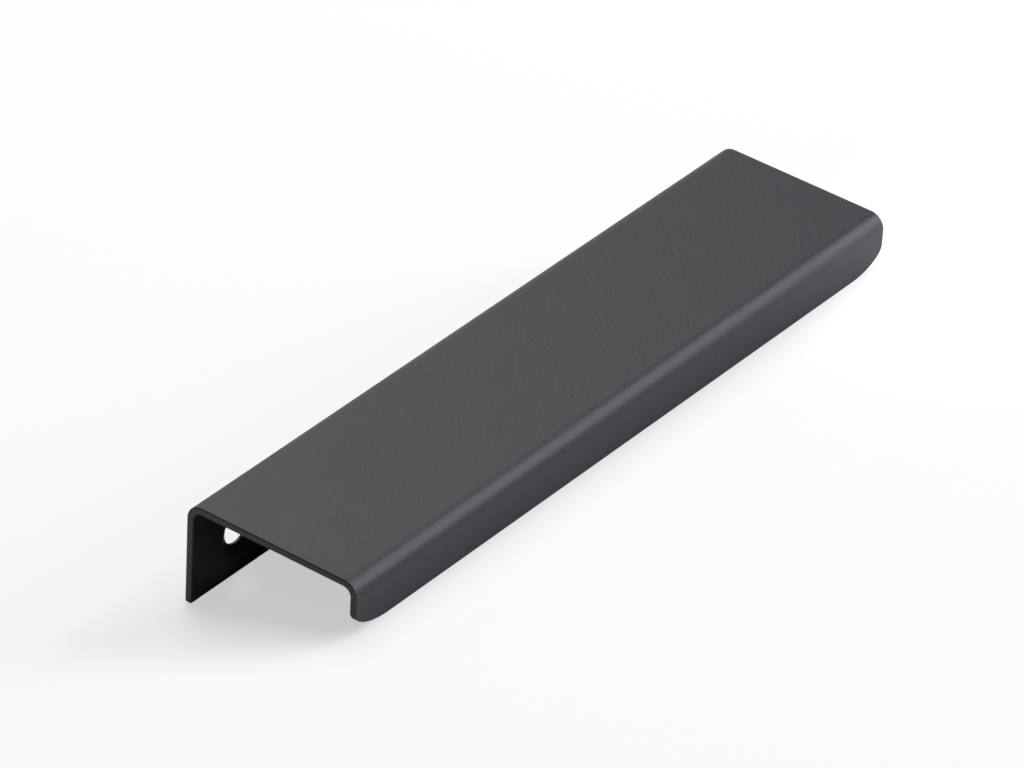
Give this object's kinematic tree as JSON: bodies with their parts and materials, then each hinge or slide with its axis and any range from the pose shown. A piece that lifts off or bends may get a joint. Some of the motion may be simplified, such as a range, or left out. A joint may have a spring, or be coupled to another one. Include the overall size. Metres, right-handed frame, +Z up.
{
  "type": "handleless finger pull profile",
  "caption": "Bent metal finger pull for a handleless door or drawer front: a flat plate with a short rounded lip in front and a drilled screw flange behind, matt black.",
  "frame": {"origin": "on the level surface it stands on, under the middle of its outer box", "axes": "+X along the length, -Y the way the lip faces, +Z up; the plate slopes down to the lip at about 16.7 degrees, because the profile stands on the feet of its two unequal legs"},
  "size_m": [0.154, 0.041, 0.0196],
  "materials": {
    "powder_coat": "matt black powder coat"
  },
  "bodies": {
    "root": {"finger_pull_profile": "powder_coat"}
  },
  "joints": []
}
